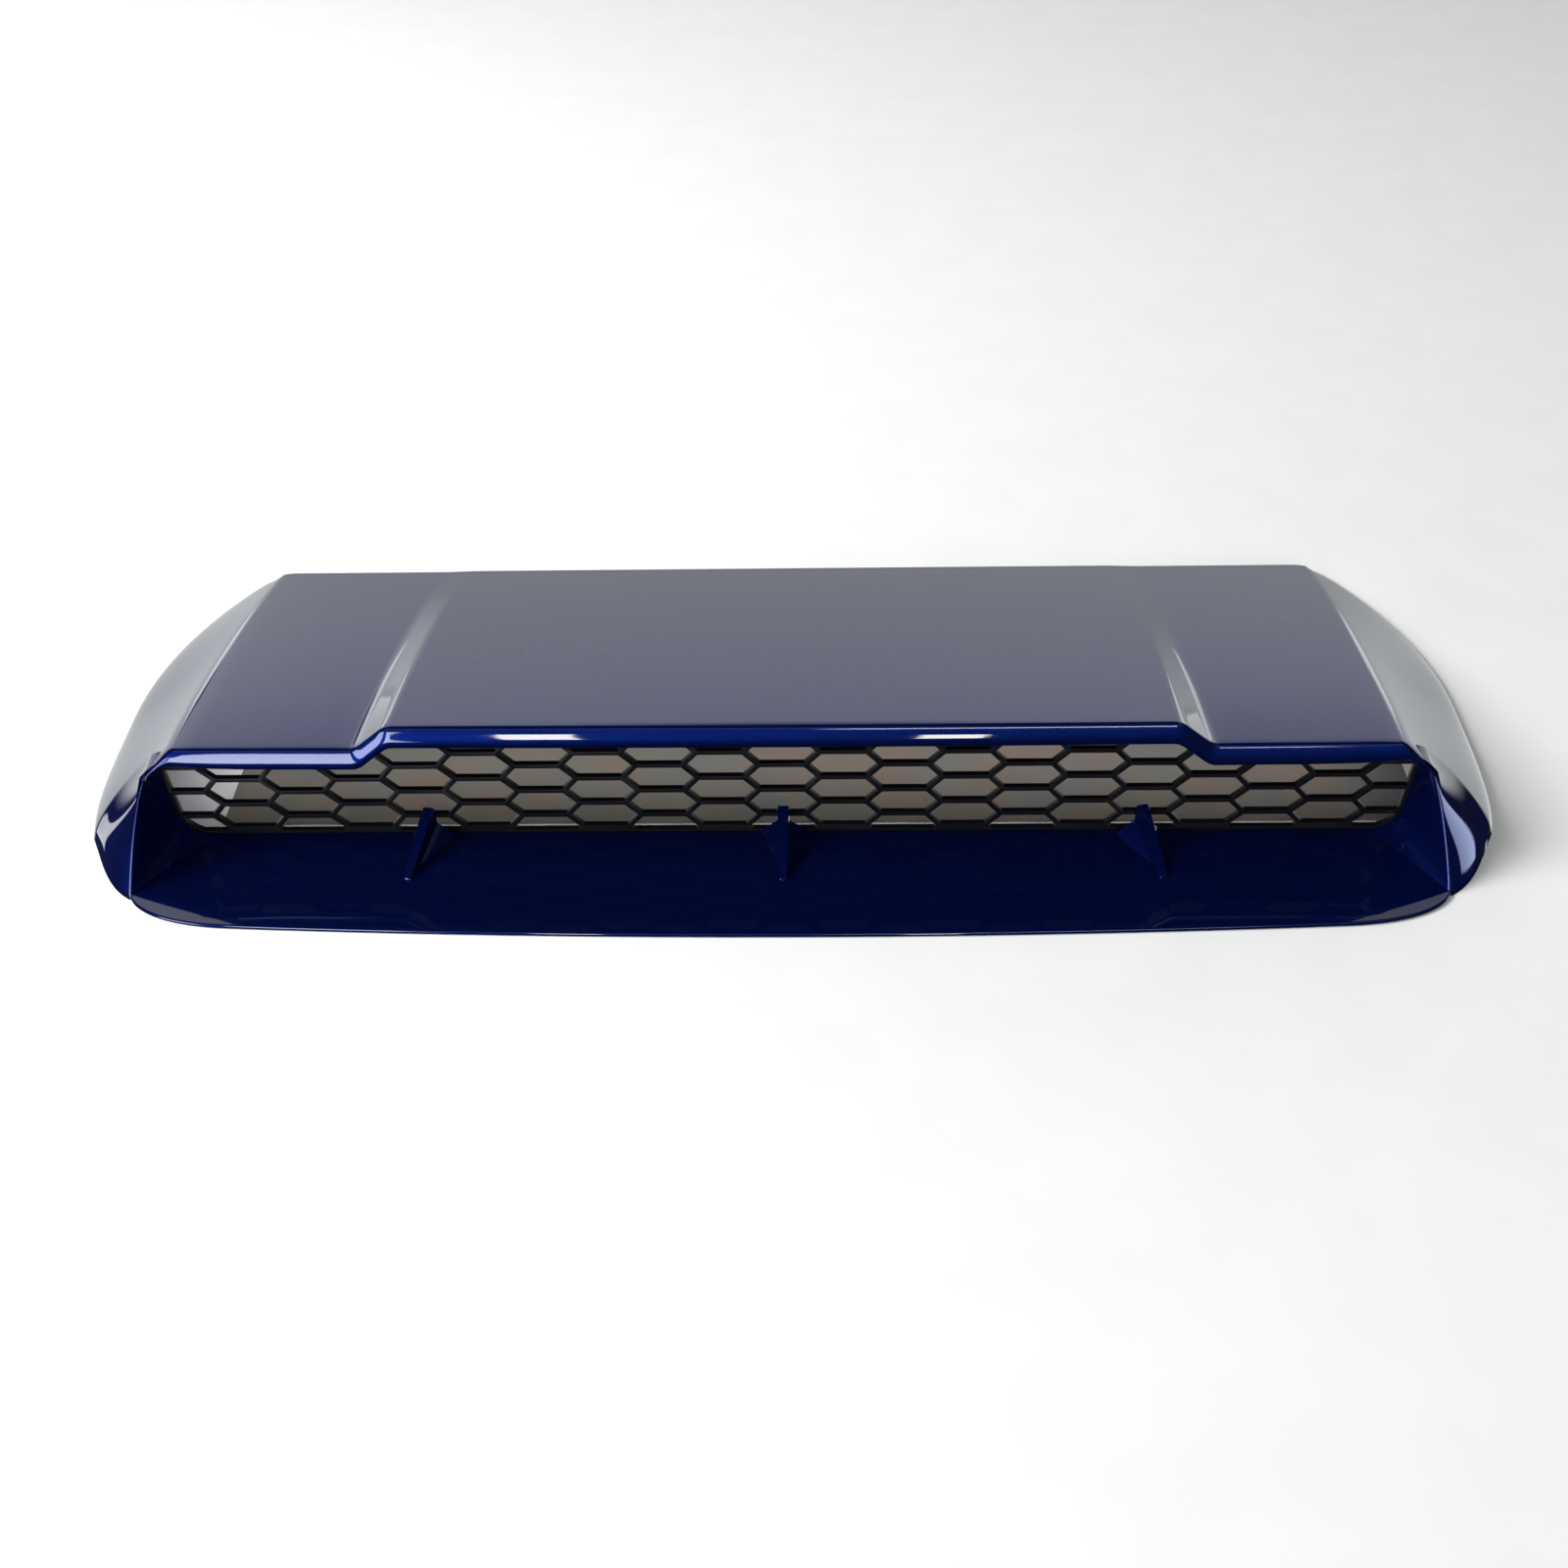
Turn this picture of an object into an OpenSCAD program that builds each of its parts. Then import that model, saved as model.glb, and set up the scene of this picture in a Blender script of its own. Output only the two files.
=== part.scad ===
// Bonnet scoop: a hollow painted moulding with a raised centre panel, an intake mouth with a tray
// and three splitter fins, and a honeycomb grille screwed in from behind.
// Origin at the middle of the base. +X is the car's left-right width, +Z is up, and the mouth faces -Y.

/* [Overall size] */
// Width across the widest part of the base
scoop_w = 886; // [850:1:920]
// Length from the tray lip to the rear edge
scoop_l = 346; // [336:1:360]
// Height of the centre panel at the brow
scoop_h = 102; // [96:1:110]
// Wall thickness of the moulding
wall = 3; // [2.5:0.1:3.5]

/* [Roof] */
// How far the brow lies behind the tray lip
brow_set_back = 72; // [68:1:78]
// Height of the brow's front face
brow_face = 15; // [12:0.5:18]
// How far the brow's lower edge lies ahead of its upper edge
brow_rake = 3; // [1:0.5:5]
// How far the ends of the brow curve back
brow_bow = 2.5; // [0:0.5:5]
// Slope of the centre panel at the brow, in degrees
roof_pitch = 14; // [12:0.5:15]
// Height of the centre panel at the rear edge
rear_h = 9.5; // [8:0.5:12]
// Length over which the rear edge rounds down to the base
rear_round = 6; // [4:0.5:8]
// Step down from the centre panel to a shoulder, at the brow
step_front = 17.5; // [12:0.5:22]
// The same step at the rear edge
step_rear = 0.8; // [0.5:0.1:3]
// Width of the ramp between the centre panel and a shoulder
ramp_w = 28; // [20:1:36]
// Width of a shoulder and its ramp at the brow
shoulder_w_front = 135; // [110:1:150]
// Width of a shoulder and its ramp at the rear edge
shoulder_w_rear = 143; // [115:1:155]
// How far each shoulder's crease lies inside the widest point of the base, at the brow
flank_run_front = 83; // [75:1:95]
// The same distance at the rear edge
flank_run_rear = 68; // [62:1:78]

/* [Base outline] */
// Where the base is widest, measured from the middle
widest_y = 14; // [0:1:30]
// How much narrower each side is at the rear edge, before its corner
tail_inset = 61; // [52:1:66]
// Rounding of the rear corners across the width
rear_corner_w = 30; // [20:1:40]
// Rounding of the rear corners along the length
rear_corner_l = 15; // [12:1:20]
// Height of the upright edge around the base
rim_h = 3; // [2:0.5:4]

/* [Mouth] */
// How far the tray notch lies behind the tray lip
notch_set_back = 30; // [24:1:36]
// How far the mouth's upper corner lies outside the shoulder's crease
mouth_corner_out = 10; // [7:0.5:12]
// How much wider each side of the mouth is at the notch
mouth_flare = 24.5; // [18:0.5:30]
// How much the mouth's upper edge lifts at its ends
mouth_end_lift = 2.5; // [0:0.5:4]
// How far the pillar's outer edge lags behind the brow at its foot
foot_lag = 6; // [2:1:10]
// How far the pillar's outer edge lags behind the brow at its shoulder
shoulder_lag = 14; // [5:1:20]
// How far the brow's ends stand ahead of the pillars' tops
brow_nose = 3; // [1:0.5:4]
// Outward crown of the pillar's face
pillar_crown = 5.5; // [3:0.5:7]
// Bow of the tray lip between its corners
lip_bow = 7.5; // [2:0.5:12]
// Length of the tray lip's rounded corners across the width
lip_corner_w = 64; // [50:1:80]

/* [Grille] */
// How far the grille lies behind the brow
grille_recess = 11; // [9:0.5:14]
// How much wider each side of the throat is at the grille than at the mouth's upper corner
throat_out = 5; // [2:0.5:7]
// Radius of the throat's lower corners
throat_corner_r = 18; // [10:1:24]
// Thickness of the grille
grille_t = 3.5; // [3:0.5:5]
// Distance between neighbouring columns of cells
cell_pitch_x = 36.7; // [30:0.1:44]
// Distance between cells in a column
cell_pitch_z = 21; // [17:0.1:26]
// How far the side points of a cell reach past its flats
cell_point = 9; // [6:0.5:11]
// Thickness of the honeycomb's bars
cell_wall = 3; // [2:0.1:4]
// Width of the grille's plain border inside the throat
grille_border = 2; // [1:0.5:4]
// How far the grille's rim laps over the end of the throat
grille_lap = 2.4; // [1.5:0.1:2.5]

/* [Fins] */
// Height of a splitter fin above the tray
fin_h = 22.5; // [16:0.5:30]
// Length of a fin's sloping ridge along the tray
fin_l = 38; // [34:1:42]
// Thickness of a fin's blade
fin_t = 7.5; // [5:0.5:9]
// Width of the wedge at the foot of a fin
fin_wedge_w = 28; // [18:1:36]
// Height of a fin's wedge against its blade
fin_wedge_h = 10; // [6:0.5:14]
// Length of a fin's wedge along the tray
fin_wedge_l = 29; // [20:1:34]
// Distance of the outer fins from the middle
fin_spacing = 218; // [190:1:240]
// Outward turn of the outer fins, in degrees
fin_splay = 14; // [0:1:20]

/* [Fixings] */
// Distance of the mounting bosses inside the shoulders' creases at the brow
boss_in = 60; // [45:1:75]
// Distance of the front bosses behind the brow
boss_front_back = 96; // [85:1:105]
// Distance of the rear bosses ahead of the rear edge
boss_rear_ahead = 73; // [65:1:90]
// Outer radius of a mounting boss
boss_r = 8; // [7:0.5:10]
// Height of the bosses' faces above the base
boss_gap = 1; // [0.5:0.5:2]
// Outer radius of a threaded insert
insert_r = 4.2; // [4:0.1:5]
// Thread radius of an insert, as drilled for an M6 screw
insert_bore_r = 2.5; // [2:0.1:3]
// Length of a threaded insert
insert_l = 12; // [8:0.5:14]
// Outer radius of a grille screw's boss
screw_boss_r = 4; // [3.6:0.1:4.5]
// Shank radius of a grille screw
screw_r = 1.75; // [1.5:0.05:2]
// Head radius of a grille screw
screw_head_r = 3.6; // [3:0.1:4]
// Height of a grille screw's head
screw_head_h = 2; // [1.5:0.1:2.5]
// Length of a grille screw under its head
screw_l = 10; // [8:0.5:11]

/* [Seal] */
// Width of the foam seal inside the rim
seal_w = 8; // [5:0.5:10]
// Thickness of the foam seal
seal_t = 2; // [1.5:0.5:3]

/* [Hidden] */
round_fn = 48;
front_y = -scoop_l / 2;
rear_y = scoop_l / 2;
brow_y = front_y + brow_set_back;
notch_y = front_y + notch_set_back;
grille_y = brow_y + grille_recess;
roof_end_y = rear_y - rear_round;
roof_l = roof_end_y - brow_y;
roof_sag = (scoop_h - rear_h - tan(roof_pitch) * roof_l) / (roof_l * roof_l);
half_w = scoop_w / 2;
crease_half_front = half_w - flank_run_front;
crease_half_rear = half_w - flank_run_rear;
panel_half_front = crease_half_front - shoulder_w_front;
panel_half_rear = crease_half_rear - shoulder_w_rear;
mouth_half_top = crease_half_front + mouth_corner_out;
mouth_half_foot = mouth_half_top + mouth_flare;
throat_half = mouth_half_top + throat_out;
boss_x = crease_half_front - boss_in;
boss_front_y = brow_y + boss_front_back;
boss_rear_y = rear_y - boss_rear_ahead;
tray_z = wall;
// The rim stands this far inside the outline where the flank starts
rim_draft = 1.5;
// The pillar's tip ends this far inside the mouth's foot
tip_in = 0.5;
// Rounding of the shoulder's crease
crease_r = 3.5;
// Steps up the flank, from the base to the crease, and across a ramp, from shoulder to centre panel
flank_steps = [0, 0.07, 0.2, 0.34, 0.48, 0.62, 0.76, 0.88, 0.95];
ramp_steps = [0, 0.13, 0.26, 0.5, 0.74, 0.87, 1];
// Share of a ramp's width taken by the rounding at each of its edges
ramp_soft = 0.28;

function mix(a, b, t) = a + (b - a) * t;
function clamp(t) = min(max(t, 0), 1);
function bezier2(a, b, c, t) = a * (1 - t) * (1 - t) + b * 2 * t * (1 - t) + c * t * t;
function bezier3(a, b, c, d, t) = mix(bezier2(a, b, c, t), bezier2(b, c, d, t), t);
// A straight rise from 0 to 1 with both of its ends rounded over the share r
function soft_rise(t, r) =
    t < r ? t * t / (2 * r * (1 - r))
    : t > 1 - r ? 1 - (1 - t) * (1 - t) / (2 * r * (1 - r))
    : (t - r / 2) / (1 - r);

// The roof: a fall that steepens to the rear, and the step from the centre panel to each shoulder
function along_roof(y) = (y - brow_y) / roof_l;
function panel_z(y) = scoop_h - tan(roof_pitch) * (y - brow_y) - roof_sag * (y - brow_y) * (y - brow_y);
function step_at(y) = mix(step_front, step_rear, along_roof(y));
function panel_x(y) = mix(panel_half_front, panel_half_rear, along_roof(y));
function ramp_x(y) = panel_x(y) + ramp_w;
function crease_x(y) = mix(crease_half_front, crease_half_rear, along_roof(y));
function roof_z(x, y) =
    panel_z(y) - step_at(y) * soft_rise(clamp((x - panel_x(y)) / (ramp_x(y) - panel_x(y))), ramp_soft);
function crease_z(y) = panel_z(y) - step_at(y);

// Half width of the base along the length, with a rounded corner at the rear
function corner_cut(y) =
    let(u = clamp((y - (rear_y - rear_corner_l)) / rear_corner_l))
    rear_corner_w * (1 - sqrt(1 - u * u));
function base_x(y) =
    y < widest_y
    ? half_w - (half_w - mouth_half_foot + tip_in) * pow((widest_y - y) / (widest_y - notch_y), 4.3)
    : half_w - tail_inset * pow((y - widest_y) / (rear_y - widest_y), 2.1) - corner_cut(y);

// A point on the flank, h going from the base up to the crease; inset moves it into the wall
function flank_point(y, h, inset) =
    let(x0 = base_x(y) - rim_draft - inset,
        x2 = crease_x(y) - inset * 0.6,
        z2 = crease_z(y) - inset,
        low = [x0, rim_h],
        turn = [x0 - 0.05 * (x0 - x2), rim_h + 0.17 * (z2 - rim_h)],
        p = bezier2(low, turn, [x2, z2], h))
    [p[0], y, p[1]];

// The mouth: its side edge from the notch to the upper corner, and its upper edge under the brow
mouth_top_z = scoop_h - step_front - brow_face + mouth_end_lift;
function brow_bend(x) = brow_bow * pow(x / crease_half_front, 2);
mouth_top_y = brow_y + brow_bow - brow_rake;
function mouth_x(z) = mouth_half_top + mouth_flare * sqrt(clamp(1 - z / mouth_top_z));
function mouth_y(z) = mix(mouth_top_y, notch_y, clamp(1 - z / mouth_top_z));
function end_lift(x) = mouth_end_lift * pow(clamp((x - crease_half_front + 40) / 45), 2);
function mouth_z(x) = roof_z(x, brow_y) - brow_face + end_lift(x);

// Where the contour's points lie across the roof at y, from the crease to the middle
function roof_steps(y) =
    let(c = crease_x(y), r = ramp_x(y), p = panel_x(y))
    concat([c - crease_r, mix(c, r, 0.35), mix(c, r, 0.7)], [for (t = ramp_steps) mix(r, p, t)],
        [p * 0.66, p * 0.33, 0]);

// The pillar's outer edge lags behind the brow
function pillar_lag(h) = foot_lag * (1 - h) + shoulder_lag * sin(180 * h * h) + brow_nose * h * h;

// The rounded crease between a flank and its shoulder, and the mouth's rounded upper corner
function crease_point(y, inset) =
    let(c = crease_x(y) - inset * 0.6, z = crease_z(y) - inset)
    bezier2(flank_point(y, flank_steps[len(flank_steps) - 1], inset), [c, y, z], [c - crease_r, y, z], 0.5);
function corner_point(inset) = [mouth_half_top - inset, mouth_top_y + inset, mouth_top_z - 1.2];

// One half of the band around the mouth: t is 0 at its outer edge and 1 at the mouth
function band_point(h, t, inset) =
    let(outer = flank_point(brow_y + brow_bow + pillar_lag(h), h, inset),
        z = mix(rim_h / 2, mouth_top_z, h),
        inner = [mouth_x(z) - 0.8 - inset, mouth_y(z) + inset, z],
        crown = 4 * t * (1 - t) * mix(pillar_crown, 1, h),
        p = mix(outer, inner, t))
    p + [0.62, -0.72, 0.3 * h] * crown + [0, inset, 0] * (1 - t);
function brow_point(x, t, inset) =
    let(y = brow_y + brow_bend(x) + inset)
    [x, y - brow_rake * t, mix(roof_z(x, brow_y) - inset, mouth_z(x), t)];
function band_row(t, inset) = concat(
    [for (h = flank_steps) band_point(h, t, inset)],
    [mix(crease_point(brow_y + brow_bow + brow_nose / 3 + inset, inset), corner_point(inset), t)],
    [for (x = roof_steps(brow_y)) brow_point(x, t, inset)]);

// One half of a roof row: it follows the brow's bend and the pillar's lag, which fade to the rear
function roof_row(y, inset) =
    let(fade = clamp(1 - (y - brow_y) / 70))
    concat(
        [for (h = flank_steps) flank_point(y + (brow_bow + pillar_lag(h)) * fade, h, inset)],
        [crease_point(y + (brow_bow + brow_nose / 3) * fade, inset)],
        [for (x = roof_steps(y)) [x, y + brow_bend(x) * fade, roof_z(x, y) - inset]]);

// The rear edge: the last roof row shrunk in and pressed down along a quarter round
function rear_row(a, inset) =
    let(y = roof_end_y - inset + rear_round * sin(a),
        k = base_x(y + inset) / base_x(roof_end_y))
    [for (p = roof_row(roof_end_y - inset, inset)) [p[0] * k, y, p[2] * cos(a)]];

function flat(row, z, y) = [for (p = row) [p[0], y == undef ? p[1] : y, z]];
function mirrored(row) = [for (p = row) [-p[0], p[1], p[2]]];
function last_but(list, n) = [for (i = [0 : len(list) - 1 - n]) list[i]];
function reversed(list) = [for (i = [len(list) - 1 : -1 : 0]) list[i]];
// A row from the right base over the top to the left base, with its ends let down to the base at z
function full_row(row, z) =
    let(half = concat([[row[0][0] + rim_draft * (1 - z / rim_h), row[0][1], z]], row))
    concat(half, reversed(mirrored(last_but(half, 1))));

roof_ys = [2, 18, 40, 70, 100, 130, 160, 190, 215, 235, 252];
function skin_rows(inset, z) = concat(
    [flat(full_row(band_row(1, inset), z), z, notch_y - 0.5 + inset)],
    [for (t = [1, 0.8, 0.6, 0.4, 0.2, 0.07]) full_row(band_row(t, inset), z)],
    [for (d = roof_ys) full_row(roof_row(brow_y + inset + d * roof_l / 268, inset), z)],
    [for (a = inset > 0 ? [0] : [0, 35, 65]) full_row(rear_row(a, inset), z)],
    [flat(full_row(rear_row(inset > 0 ? 0 : 90, inset), z), z, inset > 0 ? undef : rear_y + 0.14)]);

// A closed skin over rows of points, with a flat bottom through the ends of the rows
module skin(rows) {
    n = len(rows);
    m = len(rows[0]);
    sides = [for (i = [0 : n - 2], j = [0 : m - 2], k = [0, 1])
        let(a = i * m + j, b = a + 1, c = a + m + 1, d = a + m, lean = (j < m / 2 - 1) != (i == n - 2))
        k == 0 ? [a, b, lean ? c : d] : [lean ? a : b, c, d]];
    right = [for (i = [1 : n - 2]) i * m];
    left = [for (i = [n - 2 : -1 : 1]) i * m + m - 1];
    front = [for (j = [m - 1 : -1 : 0]) j];
    rear = [for (j = [0 : m - 1]) (n - 1) * m + j];
    middle = floor(n / 2);
    bottom = concat([for (i = [middle : n - 3]) right[i]], rear, left, front, [for (i = [0 : middle - 1]) right[i]]);
    polyhedron([for (r = rows) each r], concat(sides, [bottom]));
}

module body(inset, z) { skin(skin_rows(inset, z)); }

// The throat: half of its section at y, from the middle of the floor round to the middle of the top
side_zs = [0, 2, 5, 9, 14, 18, 27, 37, 47, 55, 62];
function throat_x(z) =
    let(up = z - tray_z, drop = throat_corner_r - up)
    up >= throat_corner_r ? throat_half
    : throat_half - throat_corner_r + sqrt(throat_corner_r * throat_corner_r - drop * drop);
function side_x(y, z) =
    let(t = clamp((y - mouth_y(z)) / (grille_y - mouth_y(z))))
    mix(mouth_x(z), throat_x(z), t);
function throat_half_row(y, gap, floor_z) =
    let(ramp = [for (t = ramp_steps) mix(ramp_x(brow_y), panel_x(brow_y), t)],
        top_xs = concat([for (t = [0.04, 0.17, 0.43, 0.69]) mix(mouth_half_top, ramp_x(brow_y), t)], ramp))
    concat(
        [for (k = [0 : len(side_zs) - 1])
            let(z = tray_z + side_zs[k])
            [side_x(y, z) + gap, y, k == 0 ? floor_z : z]],
        [for (x = top_xs) [x + (x == top_xs[0] ? gap : 0), y, mouth_z(x) + gap]]);
function throat_row(y, gap, floor_z) =
    let(half = throat_half_row(y, gap, floor_z))
    concat([[0, y, floor_z]], half, reversed(mirrored(half)));

// A closed tube over rows of points, with flat ends
module tube(rows) {
    n = len(rows);
    m = len(rows[0]);
    sides = [for (i = [0 : n - 2], j = [0 : m - 1], k = [0, 1])
        let(a = i * m + j, b = i * m + (j + 1) % m, c = b + m, d = a + m, lean = j < m / 2)
        k == 0 ? [a, b, lean ? c : d] : [lean ? a : b, c, d]];
    front = concat([0], [for (j = [m - 1 : -1 : 1]) j]);
    rear = [for (j = [0 : m - 1]) (n - 1) * m + j];
    polyhedron([for (r = rows) each r], concat(sides, [front, rear]));
}

module throat(gap, floor_z, end_y) {
    ys = concat([front_y - 8], [for (t = [0 : 1 / 7 : 1.001]) mix(notch_y - 1, grille_y, t)]);
    tube(concat([for (y = ys) throat_row(y, gap, floor_z)],
        end_y > grille_y ? [throat_row(end_y, gap, floor_z)] : []));
}

// The tray ahead of the mouth, with its bowed lip and rounded corners
lip_half_flat = mouth_half_foot - tip_in - lip_corner_w;
function lip_edge() = concat(
    [for (t = [0 : 1 / 6 : 0.999]) [t * lip_half_flat, front_y + lip_bow * t * t]],
    [for (t = [0 : 1 / 6 : 1.001]) bezier3(
        [lip_half_flat, front_y + lip_bow],
        [mix(lip_half_flat, mouth_half_foot, 0.65), front_y + lip_bow + 2],
        [mix(lip_half_flat, mouth_half_foot, 0.92), mix(front_y, notch_y, 0.73)],
        [mouth_half_foot - tip_in, notch_y], t)]);

module tray() {
    edge = lip_edge();
    back = notch_y + 8;
    translate([0, 0, -1]) linear_extrude(tray_z + 2)
        polygon(concat(edge, [[side_x(back, tray_z) + wall / 2, back]],
            [[-side_x(back, tray_z) - wall / 2, back]],
            [for (i = [len(edge) - 1 : -1 : 1]) [-edge[i][0], edge[i][1]]]));
}

// A splitter fin: a blade with a sloping ridge on a wedge that widens to the grille
module fin() {
    rise = tray_z + fin_h;
    tail = fin_wedge_w / 2 * tan(fin_splay) + 0.5;
    hull() {
        translate([-fin_t / 2, -1, 1]) cube([fin_t, tail + 1, rise - fin_t / 2 - 1]);
        translate([0, tail, rise - fin_t / 2]) rotate([90, 0, 0]) cylinder(h = tail + 1, r = fin_t / 2, $fn = 24);
        translate([0, -fin_l, 1]) cylinder(h = tray_z - 0.4, r = fin_t * 0.4, $fn = 24);
    }
    hull() {
        translate([-fin_wedge_w / 2, -1, 1]) cube([fin_wedge_w, tail + 1, tray_z]);
        translate([-fin_t / 2, -1, 1]) cube([fin_t, tail + 1, tray_z + fin_wedge_h - 1]);
        translate([0, -fin_wedge_l, 1]) cylinder(h = tray_z - 0.6, r = fin_t * 0.4, $fn = 24);
    }
}

module fins() {
    intersection() {
        for (s = [-1, 0, 1])
            translate([s * fin_spacing, grille_y, 0]) rotate([0, 0, s * fin_splay]) fin();
        translate([-half_w, front_y, 0]) cube([scoop_w, grille_y - front_y, scoop_h]);
    }
}

// Places round the throat's end where the grille is screwed on: x and z of the screw, the turn of its
// boss and the boss's reach to the throat. The upper screws' heads lie just under the roof.
screw_head_y = grille_y + grille_t + screw_head_h;
screw_off = screw_r + 4.5;
function top_screw(x) =
    let(z = roof_z(abs(x), screw_head_y) - wall - screw_head_r - 0.3)
    [x, z, 0, z - mouth_z(abs(x))];
screw_spots = concat(
    [for (s = [-1, 0, 1]) top_screw(s * panel_half_front * 0.8)],
    [for (s = [-1, 1]) top_screw(s * mix(panel_half_front + ramp_w, crease_half_front, 0.5))],
    [for (s = [-1, 1]) [s * (throat_half + screw_off), mouth_top_z / 2, -90 * s, screw_off]]);
screw_boss_l = grille_recess - wall + 0.5;

module at_screws() {
    for (p = screw_spots) translate([p[0], grille_y, p[1]]) rotate([-90, 0, 0]) children();
}

// The outlines of the screws' bosses, which the grille's lugs share
module screw_pads() {
    for (p = screw_spots)
        translate([p[0], p[1]]) rotate(p[2]) {
            circle(r = screw_boss_r, $fn = round_fn);
            translate([-screw_boss_r, -p[3]]) square([2 * screw_boss_r, p[3]]);
        }
}

module at_bosses() {
    for (x = [-boss_x, boss_x], y = [boss_front_y, boss_rear_y]) translate([x, y, boss_gap]) children();
}

// Height of the shoulder's inner face over a boss
function boss_top(y) = crease_z(y + boss_r) - wall * 0.6 - boss_gap;

module shell() {
    color("#0c1a9a") {
        difference() {
            union() {
                difference() {
                    union() {
                        difference() {
                            body(0, -1);
                            difference() {
                                body(wall, -2);
                                throat(wall, -3, grille_y);
                            }
                        }
                        tray();
                        translate([0, grille_y, 0]) rotate([90, 0, 0]) linear_extrude(screw_boss_l) screw_pads();
                    }
                    throat(0, tray_z, grille_y + 1);
                }
                fins();
                for (x = [-boss_x, boss_x], y = [boss_front_y, boss_rear_y])
                    translate([x, y, boss_gap]) cylinder(h = boss_top(y), r = boss_r, $fn = round_fn);
            }
            translate([-half_w - 10, front_y - 10, -5]) cube([scoop_w + 20, scoop_l + 20, 5]);
            at_bosses() translate([0, 0, -1]) cylinder(h = insert_l + 1, r = insert_r, $fn = round_fn);
            translate([0, grille_t - screw_l - 0.3, 0]) at_screws() cylinder(h = screw_l, r = screw_r, $fn = round_fn);
        }
    }
}

// The honeycomb: the throat's outline with hexagonal cells, plain at its border
module throat_outline(gap) {
    half = throat_half_row(grille_y, gap, tray_z - gap);
    polygon([for (p = concat(half, reversed(mirrored(half)))) [p[0], p[2]]]);
}

// The inside of the skin at y, which the grille keeps clear of
module skin_section(y, inset) {
    half = concat([[flank_point(y, 0, inset)[0], y, -1]], [for (h = flank_steps) flank_point(y, h, inset)],
        [crease_point(y, inset)], [for (x = roof_steps(y)) [x, y, roof_z(x, y) - inset]]);
    polygon([for (p = concat(half, reversed(mirrored(last_but(half, 1))))) [p[0], p[2]]]);
}

module cell() {
    flat_half = (cell_pitch_x - cell_point) / 2;
    slant = atan2(cell_pitch_z / 2, cell_point);
    z = cell_pitch_z / 2 - cell_wall / 2;
    tip = flat_half + cell_point - cell_wall / 2 / sin(slant);
    x = tip - z / tan(slant);
    polygon([[-tip, 0], [-x, -z], [x, -z], [tip, 0], [x, z], [-x, z]]);
}

first_row_z = tray_z + 4.2;
columns = ceil(throat_half / cell_pitch_x);
rows = ceil(scoop_h / cell_pitch_z);

module grille() {
    color("#141414")
        difference() {
            translate([0, grille_y + grille_t, 0]) rotate([90, 0, 0]) linear_extrude(grille_t)
                difference() {
                    intersection() {
                        union() {
                            throat_outline(grille_lap);
                            screw_pads();
                        }
                        skin_section(grille_y + grille_t, wall + 0.3);
                    }
                    intersection() {
                        for (i = [-columns : columns], j = [0 : rows])
                            translate([i * cell_pitch_x, first_row_z + (j + (i % 2 == 0 ? 0 : 0.5)) * cell_pitch_z])
                                cell();
                        throat_outline(-grille_border);
                    }
                }
            at_screws() translate([0, 0, -1]) cylinder(h = grille_t + 2, r = screw_r + 0.25, $fn = round_fn);
        }
}

// Self-tapping screws from behind: a pan head on a plain shank
module grille_screws() {
    color("silver") at_screws() {
        translate([0, 0, grille_t]) cylinder(h = screw_head_h, r = screw_head_r, $fn = round_fn);
        translate([0, 0, grille_t - screw_l]) cylinder(h = screw_l, r = screw_r, $fn = round_fn);
    }
}

// Threaded inserts, flush with the bosses' faces
module mounting_inserts() {
    color("goldenrod") at_bosses() difference() {
        cylinder(h = insert_l, r = insert_r, $fn = round_fn);
        translate([0, 0, -1]) cylinder(h = insert_l, r = insert_bore_r, $fn = round_fn);
    }
}

// The foam seal lies inside the rim, round the sides and the rear
module rim_seal() {
    gap = wall + rim_draft + 0.3;
    ys = [for (t = [0 : 1 / 24 : 1]) mix(grille_y + 10, roof_end_y - wall - 1, t)];
    outer = [for (y = ys) [base_x(y) - gap, y]];
    inner = [for (y = ys) [base_x(y) - gap - seal_w, min(y, roof_end_y - wall - 1 - seal_w)]];
    right = concat(outer, reversed(mirrored2(outer)));
    hole = concat(inner, reversed(mirrored2(inner)));
    color("#1a1a1a") linear_extrude(seal_t) difference() {
        polygon(right);
        translate([0, -0.01]) polygon(hole);
    }
}
function mirrored2(list) = [for (p = list) [-p[0], p[1]]];

shell();
grille();
grille_screws();
mounting_inserts();
rim_seal();
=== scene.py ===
import math

import bmesh
import bpy
from mathutils import Matrix, Vector


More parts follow.
